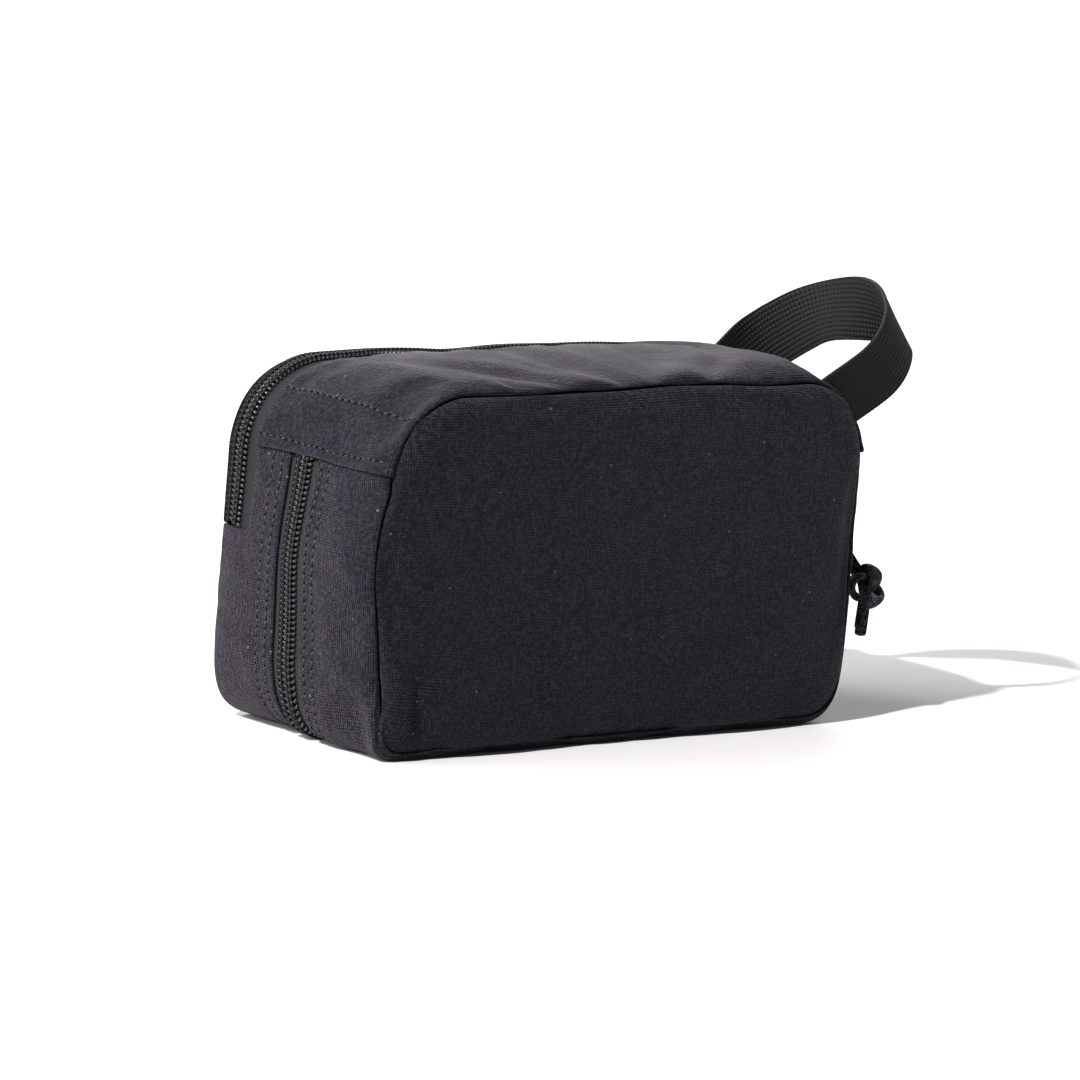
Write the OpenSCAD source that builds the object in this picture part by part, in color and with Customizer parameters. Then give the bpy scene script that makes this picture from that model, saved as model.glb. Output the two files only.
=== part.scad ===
// Zipped canvas shaving kit bag, standing on its narrow bottom.
// X runs along the bag, Y through its depth, Z is up.
// The origin is on the floor below the bag's centre.
// A centre zip lets the back half swing away from the main compartment.
// A second zip along the front edge lets the upper front panel fold down.

/* [Bag] */

// Overall length of the bag
length = 240; // [160:1:320]
// Overall depth, front panel to back panel
depth = 95; // [80:1:130]
// Overall height
height = 136; // [120:1:180]
// Radius of the four rounded corners of the big panels
corner_r = 34; // [28:1:36]
// Thickness of the waxed canvas with its seams
canvas_t = 1.6; // [1.2:0.1:2.4]
// Thickness of the lining cloth
lining_t = 0.6; // [0.4:0.1:0.8]
// Thickness of the binding over the raw seams
binding_t = 1.2; // [0.8:0.1:2]
// Height where the back half folds away from the top
fold_z = 107; // [100:1:112]
// Height where the upper front panel folds down
flap_z = 74; // [60:1:80]
// Running gap left at each fold
fold_gap = 0.3; // [0.2:0.05:0.5]
// Angle up the corner where the patch meets the top panel
patch_angle = 52; // [40:1:70]

/* [Zips] */

// Width of a pair of closed coils
coil_w = 9.8; // [6:0.2:12]
// Gap left between the two coils of a zip
coil_gap = 0.3; // [0.2:0.1:0.6]
// Thickness of the woven zip tape
tape_t = 0.6; // [0.4:0.1:0.8]
// Half width of the window that shows the coil and its tape
zip_window = 8; // [7:0.5:9]
// Distance that a tape reaches under the canvas
tape_tuck = 4; // [3:0.5:5]
// Distance from the middle of the front zip to the canvas behind it
front_zip_window = 11; // [8:0.5:12]
// Length of a slider along its track
slider_len = 12; // [10:0.5:14]
// Thickness of a slider's side rims
rim_t = 0.7; // [0.5:0.1:1]
// Thickness of a slider's plates
slider_t = 1.5; // [1:0.1:1.8]
// Clearance between a slider and what it runs on
slider_gap = 0.3; // [0.2:0.05:0.5]
// Clearance between a slider's inner plate and the tape, which bends towards it above
inner_gap = 0.8; // [0.7:0.05:1.2]
// Distance of the closed centre zip's slider below the fold
side_slider_drop = 11; // [9:0.5:14]
// Distance of the closed front zip's slider above the flap's fold
top_slider_rise = 11; // [10:0.5:14]

/* [Strap and pulls] */

// Width of the webbing in the carrying loop
strap_w = 25; // [20:1:30]
// Thickness of the webbing
strap_t = 1.8; // [1.2:0.1:2.4]
// Distance that the loop stands out from the corner
strap_reach = 50; // [45:1:70]
// Angle of the loop above the level
strap_angle = 42; // [25:1:45]
// Width of the knotted ribbon on each pull
ribbon_w = 9; // [6:0.5:12]
// Thickness of the ribbon
ribbon_t = 1.4; // [1:0.1:2]
// Half width of a pull's knot
knot_r = 8; // [6:0.5:9]

/* [Hidden] */

half_l = length / 2;
half_d = depth / 2;
cx = half_l - corner_r;
cz = height - corner_r;
face = half_d - canvas_t;
tape_in = canvas_t;
tape_out = canvas_t + tape_t;
side_in = zip_window;
slider_w = coil_w + 2 * rim_t + 0.8;
side_slider_z = fold_z - side_slider_drop;
top_slider_z = flap_z + top_slider_rise;
top_y = face - lining_t - slider_gap - slider_w / 2;
top_back_edge = top_y - front_zip_window;
bridge_w = 3;
tape_edge = bridge_w / 2 + 0.4;
divider_y = zip_window + tape_tuck + 0.5;
side_coil_end = side_slider_z + 1.5;
top_coil_end = top_slider_z - 1.5;
ring_r = 0.9;
crown_x = half_l + slider_gap + slider_t + 2.2;
strap_gap = 0.5;
strap_base = corner_r + strap_gap;
facets = 96;

// The sub-part to build, or all of them

// Rounded outline of the big panels, drawn in by a distance
module outline(inset) {
    r = corner_r - inset;
    for (sx = [-1, 1]) {
        for (z = [corner_r, cz]) {
            translate([sx * cx, z]) circle(r = r, $fn = facets);
        }
    }
    translate([-cx, inset]) square([2 * cx, height - 2 * inset]);
    translate([inset - half_l, corner_r]) square([length - 2 * inset, height - 2 * corner_r]);
}

// Closed strip that follows the outline between two depths
module ring_strip(outer, inner) {
    difference() {
        outline(outer);
        outline(inner);
    }
}

// Everything below a height
module below(z) {
    translate([-length, -10]) square([2 * length, z + 10]);
}

// Everything above a height
module above(z) {
    translate([-length, z]) square([2 * length, height]);
}

// A drawing in X and Z, made solid from one depth to another
module slab(y0, y1) {
    translate([0, y1, 0]) rotate([90, 0, 0]) linear_extrude(height = y1 - y0) children();
}

// The region above both patch seams
module top_region() {
    t = patch_angle;
    polygon([
        [-cx, cz],
        [-cx - 3 * corner_r * cos(t), cz + 3 * corner_r * sin(t)],
        [cx + 3 * corner_r * cos(t), cz + 3 * corner_r * sin(t)],
        [cx, cz]
    ]);
}

// The region of one corner patch
module patch_region(side) {
    difference() {
        translate([side > 0 ? 0 : -length, fold_z]) square([length, height]);
        top_region();
        translate([-cx, fold_z]) square([2 * cx, height]);
    }
}

module top_panel() {
    color("#2b2a2e")
    slab(-face, top_back_edge) intersection() {
        ring_strip(0, canvas_t);
        union() {
            top_region();
            translate([-cx, cz]) square([2 * cx, height]);
        }
    }
}

module left_corner_patch() {
    color("#2b2a2e")
    slab(-face, top_back_edge) intersection() {
        ring_strip(0, canvas_t);
        patch_region(-1);
    }
}

module right_corner_patch() {
    color("#2b2a2e")
    slab(-face, top_back_edge) intersection() {
        ring_strip(0, canvas_t);
        patch_region(1);
    }
}

module front_gusset() {
    color("#2b2a2e")
    union() {
        slab(side_in, top_back_edge) intersection() {
            ring_strip(0, canvas_t);
            below(fold_z);
        }
        slab(side_in, face) intersection() {
            ring_strip(0, canvas_t);
            below(flap_z);
        }
    }
}

module front_panel() {
    color("#2b2a2e")
    slab(face, half_d) intersection() {
        outline(0);
        below(flap_z);
    }
}

module back_panel_head() {
    color("#2b2a2e")
    slab(-half_d, -face) intersection() {
        outline(0);
        above(fold_z);
    }
}

module divider_panel() {
    color("#55524c")
    slab(divider_y, divider_y + 1.2) outline(tape_out);
}

module front_lining() {
    color("#55524c")
    slab(face - lining_t, face) intersection() {
        outline(canvas_t);
        below(flap_z);
    }
}

module head_binding() {
    color("#1c1b1e")
    slab(-face, 3 - face) intersection() {
        ring_strip(canvas_t, canvas_t + binding_t);
        above(fold_z);
    }
}

// Half of the centre zip's tape, on the front side
module side_zip_front_tape() {
    color("#161517")
    slab(tape_edge, side_in + tape_tuck) intersection() {
        ring_strip(tape_in, tape_out);
        below(fold_z - fold_gap);
    }
}

// Where the centre zip's coil runs: short on the slider's side
module side_coil_region() {
    translate([-length, -10]) square([length, fold_z - fold_gap + 10]);
    translate([0, -10]) square([length, side_coil_end + 10]);
}

module side_zip_front_coil() {
    color("#0f0f11")
    slab(coil_gap / 2, coil_w / 2) intersection() {
        ring_strip(0, canvas_t);
        side_coil_region();
    }
}

module side_zip_stop() {
    color("#4a4a4d")
    translate([half_l - canvas_t, tape_edge, fold_z - 4]) cube([1.4, 2.4, 2.5]);
}

module top_zip_back_tape() {
    color("#161517")
    slab(top_back_edge - tape_tuck, top_y - tape_edge) intersection() {
        ring_strip(tape_in, tape_out);
        above(flap_z - 4);
    }
}

// Where the front zip's coil runs: short on the slider's side
module top_coil_region() {
    translate([-length, flap_z + 1.5]) square([length, height]);
    translate([0, top_coil_end]) square([length, height]);
}

module top_zip_back_coil() {
    color("#0f0f11")
    slab(top_y - coil_w / 2, top_y - coil_gap / 2) intersection() {
        ring_strip(0, canvas_t);
        top_coil_region();
    }
}

module top_zip_left_stop() {
    color("#4a4a4d")
    translate([canvas_t - half_l - 1.4, top_y - coil_w / 2 - 2.6, flap_z + 1.5]) cube([1.4, 2.4, 2.5]);
}

module top_zip_right_stop() {
    color("#4a4a4d")
    translate([half_l - canvas_t, top_y - tape_edge - 2.4, flap_z + 1]) cube([1.4, 2.4, 2]);
}

// End of the webbing where it is caught inside a seam
module strap_tab(y0, inset) {
    slab(y0, y0 + strap_t) intersection() {
        outline(inset);
        above(fold_z);
        translate([cx, cz]) rotate(strap_angle)
        translate([corner_r - canvas_t - 12, -strap_w / 2 + 2])
        square([14, strap_w - 4]);
    }
}

module strap_back_tab() {
    color("#131315")
    strap_tab(-face, canvas_t + binding_t);
}

module strap_front_tab() {
    color("#131315")
    strap_tab(top_back_edge - tape_tuck - strap_t, canvas_t);
}

module back_panel() {
    color("#2b2a2e")
    slab(-half_d, -face) intersection() {
        outline(0);
        below(fold_z - fold_gap);
    }
}

module back_gusset() {
    color("#2b2a2e")
    slab(-face, -side_in) intersection() {
        ring_strip(0, canvas_t);
        below(fold_z - fold_gap);
    }
}

module side_zip_back_tape() {
    color("#161517")
    slab(-side_in - tape_tuck, -tape_edge) intersection() {
        ring_strip(tape_in, tape_out);
        below(fold_z - fold_gap);
    }
}

module side_zip_back_coil() {
    color("#0f0f11")
    slab(-coil_w / 2, -coil_gap / 2) intersection() {
        ring_strip(0, canvas_t);
        side_coil_region();
    }
}

module back_lining() {
    color("#55524c")
    slab(-face, lining_t - face) intersection() {
        outline(canvas_t + binding_t);
        below(fold_z - 1);
    }
}

module back_binding() {
    color("#1c1b1e")
    slab(-face, 3 - face) intersection() {
        ring_strip(canvas_t, canvas_t + binding_t);
        below(fold_z - fold_gap);
    }
}

module front_flap() {
    color("#2b2a2e")
    slab(face, half_d) intersection() {
        outline(0);
        above(flap_z + fold_gap);
    }
}

module flap_lining() {
    color("#55524c")
    slab(face - lining_t, face) intersection() {
        outline(tape_out);
        above(flap_z + fold_gap);
    }
}

module top_zip_front_tape() {
    color("#161517")
    slab(top_y + tape_edge, face) intersection() {
        ring_strip(tape_in, tape_out);
        above(flap_z + fold_gap);
    }
}

module top_zip_front_coil() {
    color("#0f0f11")
    slab(top_y + coil_gap / 2, top_y + coil_w / 2) intersection() {
        ring_strip(0, canvas_t);
        top_coil_region();
    }
}

// Cast slider on the right end, with its bridge towards the opened side
module slider(y, z, up) {
    outer_x = half_l + slider_gap;
    inner_x = half_l - tape_out - inner_gap - slider_t;
    translate([0, y, z]) difference() {
        union() {
            translate([outer_x, -slider_w / 2, -slider_len / 2])
            cube([slider_t, slider_w, slider_len]);
            translate([inner_x, -slider_w / 2, -slider_len / 2])
            cube([slider_t, slider_w, slider_len]);
            translate([inner_x, -bridge_w / 2, up * (slider_len / 2 - 2.5) - 1.25])
            cube([outer_x - inner_x + slider_t, bridge_w, 2.5]);
            for (side = [-1, 1]) {
                translate([outer_x - 1, side * (slider_w - rim_t) / 2 - rim_t / 2, -slider_len / 2])
                cube([1.5, rim_t, slider_len]);
            }
            translate([crown_x, 0, 0]) rotate([90, 0, 0])
            cylinder(r = 2.6, h = 3, center = true, $fn = 48);
            translate([outer_x, -1.5, -2.6]) cube([crown_x - outer_x, 3, 5.2]);
        }
        translate([crown_x, 0, 0]) rotate([90, 0, 0])
        cylinder(r = ring_r + 0.35, h = 8, center = true, $fn = 48);
    }
}

module side_slider() {
    color("#2a2a2c")
    slider(0, side_slider_z, 1);
}

module top_slider() {
    color("#2a2a2c")
    slider(top_y, top_slider_z, -1);
}

// Small wire loop that hangs from a slider and holds the ribbon
module pull_ring(y, z) {
    translate([crown_x, y, z]) union() {
        rotate([90, 0, 0]) cylinder(r = ring_r, h = 8, center = true, $fn = 48);
        for (side = [-1, 1]) {
            translate([0, side * 4, -9]) cylinder(r = ring_r, h = 9, $fn = 48);
            translate([0, side * 4, 0]) sphere(r = ring_r, $fn = 48);
            translate([0, side * 4, -9]) sphere(r = ring_r, $fn = 48);
        }
        translate([0, 0, -9]) rotate([90, 0, 0]) cylinder(r = ring_r, h = 8, center = true, $fn = 48);
    }
}

// Flat ribbon between two points, lying across Y
module ribbon(from, to, w) {
    hull() {
        translate(from) cube([ribbon_t, w, 1], center = true);
        translate(to) cube([ribbon_t, w, 1], center = true);
    }
}

// Ribbon tied round the loop, with one overhand knot and a cut tail
module pull_ribbon(y, z, knot, tail) {
    start = [crown_x + 1.8, y, z - 9];
    union() {
        translate([crown_x, y, z - 9]) rotate([90, 0, 0]) difference() {
            cylinder(r = ring_r + 1.6, h = 6, center = true, $fn = 48);
            cylinder(r = ring_r + 0.1, h = 8, center = true, $fn = 48);
        }
        ribbon(start, knot, ribbon_w * 0.7);
        translate(knot) scale([0.85, 1, 1.15]) sphere(r = knot_r, $fn = 32);
        ribbon(knot, tail, ribbon_w);
    }
}

module side_pull_ring() {
    color("#2a2a2c")
    pull_ring(0, side_slider_z);
}

module side_pull_ribbon() {
    color("#1a1a1c")
    pull_ribbon(0, side_slider_z, [half_l + 19, -38, 44], [half_l + 17, -40, 25]);
}

module top_pull_ring() {
    color("#2a2a2c")
    pull_ring(top_y, top_slider_z);
}

module top_pull_ribbon() {
    color("#1a1a1c")
    pull_ribbon(top_y, top_slider_z, [half_l + 13, top_y - 6, 42], [half_l + 12, top_y - 8, 23]);
}

// Centre line of the webbing, seen along its width
function loop_x(t) = strap_reach * pow(sin(180 * t), 0.65);
function loop_y(t) = -half_d + 0.9 + (top_back_edge - 1.2 + half_d - 0.9) * t - 15 * sin(360 * t) * (1 - t);
function loop_point(t) = [loop_x(t), loop_y(t)];
function loop_dir(t) = loop_point(t + 0.01) - loop_point(t - 0.01);
function loop_side(t, d) = loop_point(t) + d * [-loop_dir(t)[1], loop_dir(t)[0]] / norm(loop_dir(t));

// Webbing loop that stands out of the upper right corner
module strap_loop() {
    steps = 40;
    color("#131315")
    translate([cx, 0, cz]) rotate([0, -strap_angle, 0]) translate([strap_base, 0, 0])
    linear_extrude(height = strap_w, center = true)
    difference() {
        polygon(concat(
            [[-5, loop_side(0.02, strap_t / 2)[1]]],
            [for (i = [1:steps - 1]) loop_side(i / steps, strap_t / 2)],
            [[-5, loop_side(0.98, strap_t / 2)[1]]],
            [[-5, loop_side(0.98, -strap_t / 2)[1]]],
            [for (i = [1:steps - 1]) loop_side(1 - i / steps, -strap_t / 2)],
            [[-5, loop_side(0.02, -strap_t / 2)[1]]]
        ));
        translate([-20, -100]) square([20, 200]);
    }
}

top_panel();
left_corner_patch();
right_corner_patch();
front_gusset();
front_panel();
back_panel_head();
divider_panel();
front_lining();
head_binding();
side_zip_front_tape();
side_zip_front_coil();
side_zip_stop();
top_zip_back_tape();
top_zip_back_coil();
top_zip_left_stop();
top_zip_right_stop();
strap_back_tab();
strap_front_tab();
back_panel();
back_gusset();
side_zip_back_tape();
side_zip_back_coil();
back_lining();
back_binding();
front_flap();
flap_lining();
top_zip_front_tape();
top_zip_front_coil();
side_slider();
side_pull_ring();
side_pull_ribbon();
top_slider();
top_pull_ring();
top_pull_ribbon();
strap_loop();
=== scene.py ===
import math

import bmesh
import bpy
from mathutils import Matrix, Vector, noise
from mathutils.bvhtree import BVHTree


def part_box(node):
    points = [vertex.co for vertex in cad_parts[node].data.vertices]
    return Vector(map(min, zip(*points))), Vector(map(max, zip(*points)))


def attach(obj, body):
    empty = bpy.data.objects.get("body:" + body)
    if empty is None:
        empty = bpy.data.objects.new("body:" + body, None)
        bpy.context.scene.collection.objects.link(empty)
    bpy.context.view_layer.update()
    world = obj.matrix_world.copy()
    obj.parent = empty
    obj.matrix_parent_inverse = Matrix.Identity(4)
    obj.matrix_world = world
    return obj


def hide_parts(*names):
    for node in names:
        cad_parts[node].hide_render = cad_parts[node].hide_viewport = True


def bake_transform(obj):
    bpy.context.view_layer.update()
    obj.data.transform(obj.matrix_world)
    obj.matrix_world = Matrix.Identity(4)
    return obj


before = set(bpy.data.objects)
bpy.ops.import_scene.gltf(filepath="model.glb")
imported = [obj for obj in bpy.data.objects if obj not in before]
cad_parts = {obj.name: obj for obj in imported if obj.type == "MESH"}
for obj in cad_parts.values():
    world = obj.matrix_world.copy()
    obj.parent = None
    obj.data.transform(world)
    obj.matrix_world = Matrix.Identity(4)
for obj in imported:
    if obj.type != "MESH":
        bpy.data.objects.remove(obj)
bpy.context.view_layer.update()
MM = 0.001

# Camera.
# A long lens a little above the floor, looking at the plain back panel and the left end.
# It stands where the bag's corners line up, and is rolled a little to one side.
azimuth, elevation, roll = math.radians(-42.67), math.radians(8.87), math.radians(4.5)
camera_distance = 2.5
look_at = Vector((-0.00185, 0, 0.06957))
towards_camera = Vector((
    math.sin(azimuth) * math.cos(elevation),
    -math.cos(azimuth) * math.cos(elevation),
    math.sin(elevation),
))
camera_data = bpy.data.cameras.new("camera")
camera_data.lens = 219.1
camera_data.sensor_width = 36
camera = bpy.data.objects.new("camera", camera_data)
camera.location = look_at + towards_camera * camera_distance
level = towards_camera.to_track_quat("Z", "Y").to_matrix()
camera.rotation_euler = (level @ Matrix.Rotation(roll, 3, "Z")).to_euler()
bpy.context.scene.collection.objects.link(camera)
bpy.context.scene.camera = camera
bpy.context.scene.view_settings.view_transform = "Standard"

# The floor.
# One pale, nearly matt sheet that the bag stands on.


class Wire:
    """One output in a material, which plain arithmetic can build on."""

    def __init__(self, finish, socket):
        self.finish = finish
        self.socket = socket

    def math(self, operation, first, second):
        made = self.finish.node("ShaderNodeMath", {"operation": operation}, {0: first, 1: second})
        return Wire(self.finish, made.outputs[0])

    def __add__(self, other):
        return self.math("ADD", self, other)

    def __radd__(self, other):
        return self.math("ADD", other, self)

    def __sub__(self, other):
        return self.math("SUBTRACT", self, other)

    def __rsub__(self, other):
        return self.math("SUBTRACT", other, self)

    def __mul__(self, other):
        return self.math("MULTIPLY", self, other)

    def __rmul__(self, other):
        return self.math("MULTIPLY", other, self)


class Finish:
    """A material on a Principled shader, with its nodes made one at a time."""

    def __init__(self, name, **shader_values):
        self.material = bpy.data.materials.new(name)
        self.material.use_nodes = True
        self.tree = self.material.node_tree
        self.shader = self.tree.nodes["Principled BSDF"]
        for socket, value in shader_values.items():
            self.set(socket.replace("_", " "), value)

    def set(self, socket, value):
        target = self.shader.inputs[socket]
        if isinstance(value, Wire):
            self.tree.links.new(value.socket, target)
        else:
            target.default_value = value

    def node(self, kind, settings=None, values=None):
        made = self.tree.nodes.new(kind)
        for name, value in (settings or {}).items():
            if name == "stops":
                ramp = made.color_ramp
                for stop, (place, shade) in zip(ramp.elements, value):
                    stop.position = place
                    stop.color = (shade, shade, shade, 1)
            else:
                setattr(made, name, value)
        for name, value in (values or {}).items():
            if isinstance(value, Wire):
                self.tree.links.new(value.socket, made.inputs[name])
            else:
                made.inputs[name].default_value = value
        return made

    def wire(self, kind, output=0, settings=None, values=None):
        return Wire(self, self.node(kind, settings, values).outputs[output])

    def blend(self, amount, first, second):
        """A colour that goes from first to second."""
        made = self.node("ShaderNodeMix", {"data_type": "RGBA"}, {0: amount})
        for place, value in ((6, first), (7, second)):
            if isinstance(value, Wire):
                self.tree.links.new(value.socket, made.inputs[place])
            else:
                made.inputs[place].default_value = (*value, 1)
        return Wire(self, made.outputs[2])

    def raise_surface(self, height, distance, strength=1.0):
        settings = {"Height": height, "Distance": distance, "Strength": strength}
        bump = self.node("ShaderNodeBump", None, settings)
        self.tree.links.new(bump.outputs[0], self.shader.inputs["Normal"])


floor_finish = Finish("floor", Base_Color=(0.62, 0.6, 0.61, 1), Roughness=0.8)
floor_mesh = bpy.data.meshes.new("floor")
bm = bmesh.new()
bmesh.ops.create_grid(bm, x_segments=1, y_segments=1, size=40)
bm.to_mesh(floor_mesh)
bm.free()
floor_mesh.materials.append(floor_finish.material)
floor = bpy.data.objects.new("floor", floor_mesh)
bpy.context.scene.collection.objects.link(floor)

# Light.
# A strong lamp on the left throws the shadow. Two broad ones light the left end and graze the top
# from behind, and the room on the camera's side stays dim.


def far_light(name, direction, power, spread):
    data = bpy.data.lights.new(name, "SUN")
    data.energy = power
    data.angle = math.radians(spread)
    light = bpy.data.objects.new(name, data)
    light.rotation_euler = Vector(direction).to_track_quat("Z", "Y").to_euler()
    bpy.context.scene.collection.objects.link(light)


far_light("key_light", (-0.718, -0.159, 0.677), 6.0, 2.0)
far_light("left_light", (-0.78, 0.42, 0.46), 4.4, 60)
far_light("back_light", (0.5, 0.78, 0.38), 2.0, 50)
room = bpy.data.worlds.new("room")
room.use_nodes = True
room.node_tree.nodes["Background"].inputs[0].default_value = (0.97, 0.98, 1, 1)
room.node_tree.nodes["Background"].inputs[1].default_value = 0.14
bpy.context.scene.world = room

# The canvas shell.
# Every canvas piece is cut from one closed shell, so that the pieces meet along their seams.
# It starts as a grid with round corners, and its rim is drawn out through the bag's depth.
half_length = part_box("back_panel")[1].x
half_depth = -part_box("back_panel")[0].y
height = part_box("back_panel_head")[1].z
corner_radius = 34 * MM
straight_x = half_length - corner_radius
straight_z = height - corner_radius
flap_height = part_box("front_panel")[1].z
zip_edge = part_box("front_gusset")[0].y
edge_zip_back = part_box("top_panel")[1].y
corner_cells = 11


def stations(*stretches):
    """Places along a line, from (start, end, cells) stretches that join up."""
    places = [stretches[0][0]]
    for start, end, cells in stretches:
        places += [start + (end - start) * (step + 1) / cells for step in range(cells)]
    return places


across = stations(
    (-half_length, -straight_x, corner_cells),
    (-straight_x, straight_x, 56),
    (straight_x, half_length, corner_cells),
)
upwards = stations(
    (0, corner_radius, corner_cells),
    (corner_radius, flap_height, 13),
    (flap_height, straight_z, 9),
    (straight_z, height, corner_cells),
)
through = [y * MM for y in (
    -46.7, -45.2, -42.5, -39.5, -36.5, -33.5, -30.5, -27.5, -24.5, -21.5, -18.5, -15.5, -13.2, -11,
    -9.4, -8, -4.6, 0, 4.6, 8, 9.6, 12, 14.4, 17.4, 20, 22.6, 25.4, 28, 33.4, 39, 43.8, 45.9, 46.7, 47.5,
)]


def round_corners(x, z):
    """Moves a place on a plain rectangle to the same place on a panel with round corners."""
    over_x = (abs(x) - straight_x) / corner_radius
    over_z = (abs(z - height / 2) - (height / 2 - corner_radius)) / corner_radius
    if over_x <= 0 or over_z <= 0:
        return x, z
    new_x = straight_x + corner_radius * over_x * math.sqrt(1 - over_z ** 2 / 2)
    new_z = height / 2 - corner_radius + corner_radius * over_z * math.sqrt(1 - over_x ** 2 / 2)
    return math.copysign(new_x, x), height / 2 + math.copysign(new_z, z - height / 2)


def grid_panel(bm, y):
    """A panel with round corners, and the edges of its rim."""
    made = bmesh.ops.create_grid(bm, x_segments=len(across) - 1, y_segments=len(upwards) - 1, size=1)
    for vertex in made["verts"]:
        column = round((vertex.co.x + 1) / 2 * (len(across) - 1))
        row = round((vertex.co.y + 1) / 2 * (len(upwards) - 1))
        x, z = round_corners(across[column], upwards[row])
        vertex.co = (x, y, z)
    faces = {face for vertex in made["verts"] for face in vertex.link_faces}
    bmesh.ops.inset_region(bm, faces=list(faces), thickness=0.9 * MM, use_even_offset=True)
    return [edge for edge in bm.edges if edge.is_boundary]


bm = bmesh.new()
rim = grid_panel(bm, -half_depth)
for y in through:
    drawn = bmesh.ops.extrude_edge_only(bm, edges=rim)["geom"]
    for vertex in (part for part in drawn if isinstance(part, bmesh.types.BMVert)):
        vertex.co.y = y
    rim = [part for part in drawn if isinstance(part, bmesh.types.BMEdge) and part.is_boundary]
grid_panel(bm, half_depth)
bmesh.ops.remove_doubles(bm, verts=bm.verts, dist=0.05 * MM)
bmesh.ops.recalc_face_normals(bm, faces=bm.faces)


def along_outline(x, z):
    """Distance round the outline, from the middle of the bottom, clockwise as the camera sees it."""
    side = -1 if x < 0 else 1
    quarter = corner_radius * math.pi / 2
    x = abs(x)
    if x <= straight_x:
        reach = x if z < height / 2 else 2 * straight_x + 2 * quarter + height - 2 * corner_radius - x
    elif z < corner_radius:
        reach = straight_x + corner_radius * math.atan2(x - straight_x, corner_radius - z)
    elif z > straight_z:
        reach = straight_x + quarter + height - 2 * corner_radius
        reach += corner_radius * math.atan2(z - straight_z, x - straight_x)
    else:
        reach = straight_x + quarter + z - corner_radius
    return side * reach


weave = bm.loops.layers.uv.new("weave")
for face in bm.faces:
    middle = face.calc_center_median()
    on_panel = abs(face.normal.y) > 0.9
    for loop in face.loops:
        place = loop.vert.co
        if on_panel:
            loop[weave].uv = (place.x, place.z)
        else:
            reach = along_outline(place.x, place.z)
            if abs(place.x) < 0.0005 and reach * middle.x < 0:
                reach = -reach
            loop[weave].uv = (reach, place.y)

shell_mesh = bpy.data.meshes.new("canvas_shell")
bm.to_mesh(shell_mesh)
bm.free()
flat_places = [vertex.co.copy() for vertex in shell_mesh.vertices]
shell = bpy.data.objects.new("canvas_shell", shell_mesh)
bpy.context.scene.collection.objects.link(shell)

# Filling the shell out.
# The seams and the rows of stitching hold the cloth, and a little air pressure rounds it between them.
# The cloth is cut slightly large, so it gathers into small folds along the seams.
seam_inset = 1.3 * MM
stitch_rows = {"back": (-11 * MM, -15.5 * MM), "front": (12 * MM, 17.4 * MM)}


def in_zip_window(place):
    """True where the shell is only a stand-in for a zip."""
    centre = abs(place.y) < zip_edge + 0.1 * MM and place.z < straight_z + 4.5 * MM
    edge = edge_zip_back - 0.1 * MM < place.y < 46 * MM and place.z > flap_height - 0.1 * MM
    return centre or edge


def on_seam(place):
    """True on the seams that join the front and back panels to the band."""
    return abs(abs(place.y) - half_depth) < 0.1 * MM and outline_depth(place) < 0.2 * MM


def outline_depth(place):
    """Distance in from the bag's outline, seen along its depth."""
    over_x = abs(place.x) - straight_x
    over_z = abs(place.z - height / 2) - (height / 2 - corner_radius)
    if over_x > 0 and over_z > 0:
        return corner_radius - math.hypot(over_x, over_z)
    return min(half_length - abs(place.x), height / 2 - abs(place.z - height / 2))


def inward(place):
    """Unit vector from the outline towards the inside, seen along the depth."""
    over_x = abs(place.x) - straight_x
    over_z = abs(place.z - height / 2) - (height / 2 - corner_radius)
    side_x = math.copysign(1, place.x)
    side_z = math.copysign(1, place.z - height / 2)
    if over_x > 0 and over_z > 0:
        return Vector((-side_x * over_x, 0, -side_z * over_z)).normalized()
    if half_length - abs(place.x) < height / 2 - abs(place.z - height / 2):
        return Vector((-side_x, 0, 0))
    return Vector((0, 0, -side_z))


def ease(amount):
    """A soft step from 0 to 1."""
    amount = min(max(amount, 0), 1)
    return amount * amount * (3 - 2 * amount)


held = shell.vertex_groups.new(name="held")
for index, place in enumerate(flat_places):
    on_band = outline_depth(place) < 0.2 * MM
    row_here = any(
        abs(place.y - row) < 0.2 * MM and place.z < straight_z + 4.5 * MM
        for rows in stitch_rows.values() for row in rows
    )
    between = -15.5 * MM < place.y < 17.4 * MM and place.z < straight_z + 4.5 * MM
    if on_seam(place):
        deeper = 2.6 * MM * max(inward(place).z, 0)
        shell_mesh.vertices[index].co = place + inward(place) * (seam_inset + deeper)
        shell_mesh.vertices[index].co.y -= math.copysign(seam_inset, place.y)
        held.add([index], 1.0, "REPLACE")
    elif on_band and (in_zip_window(place) or row_here):
        held.add([index], 1.0, "REPLACE")
    elif on_band and between:
        held.add([index], 0.6, "REPLACE")

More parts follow.
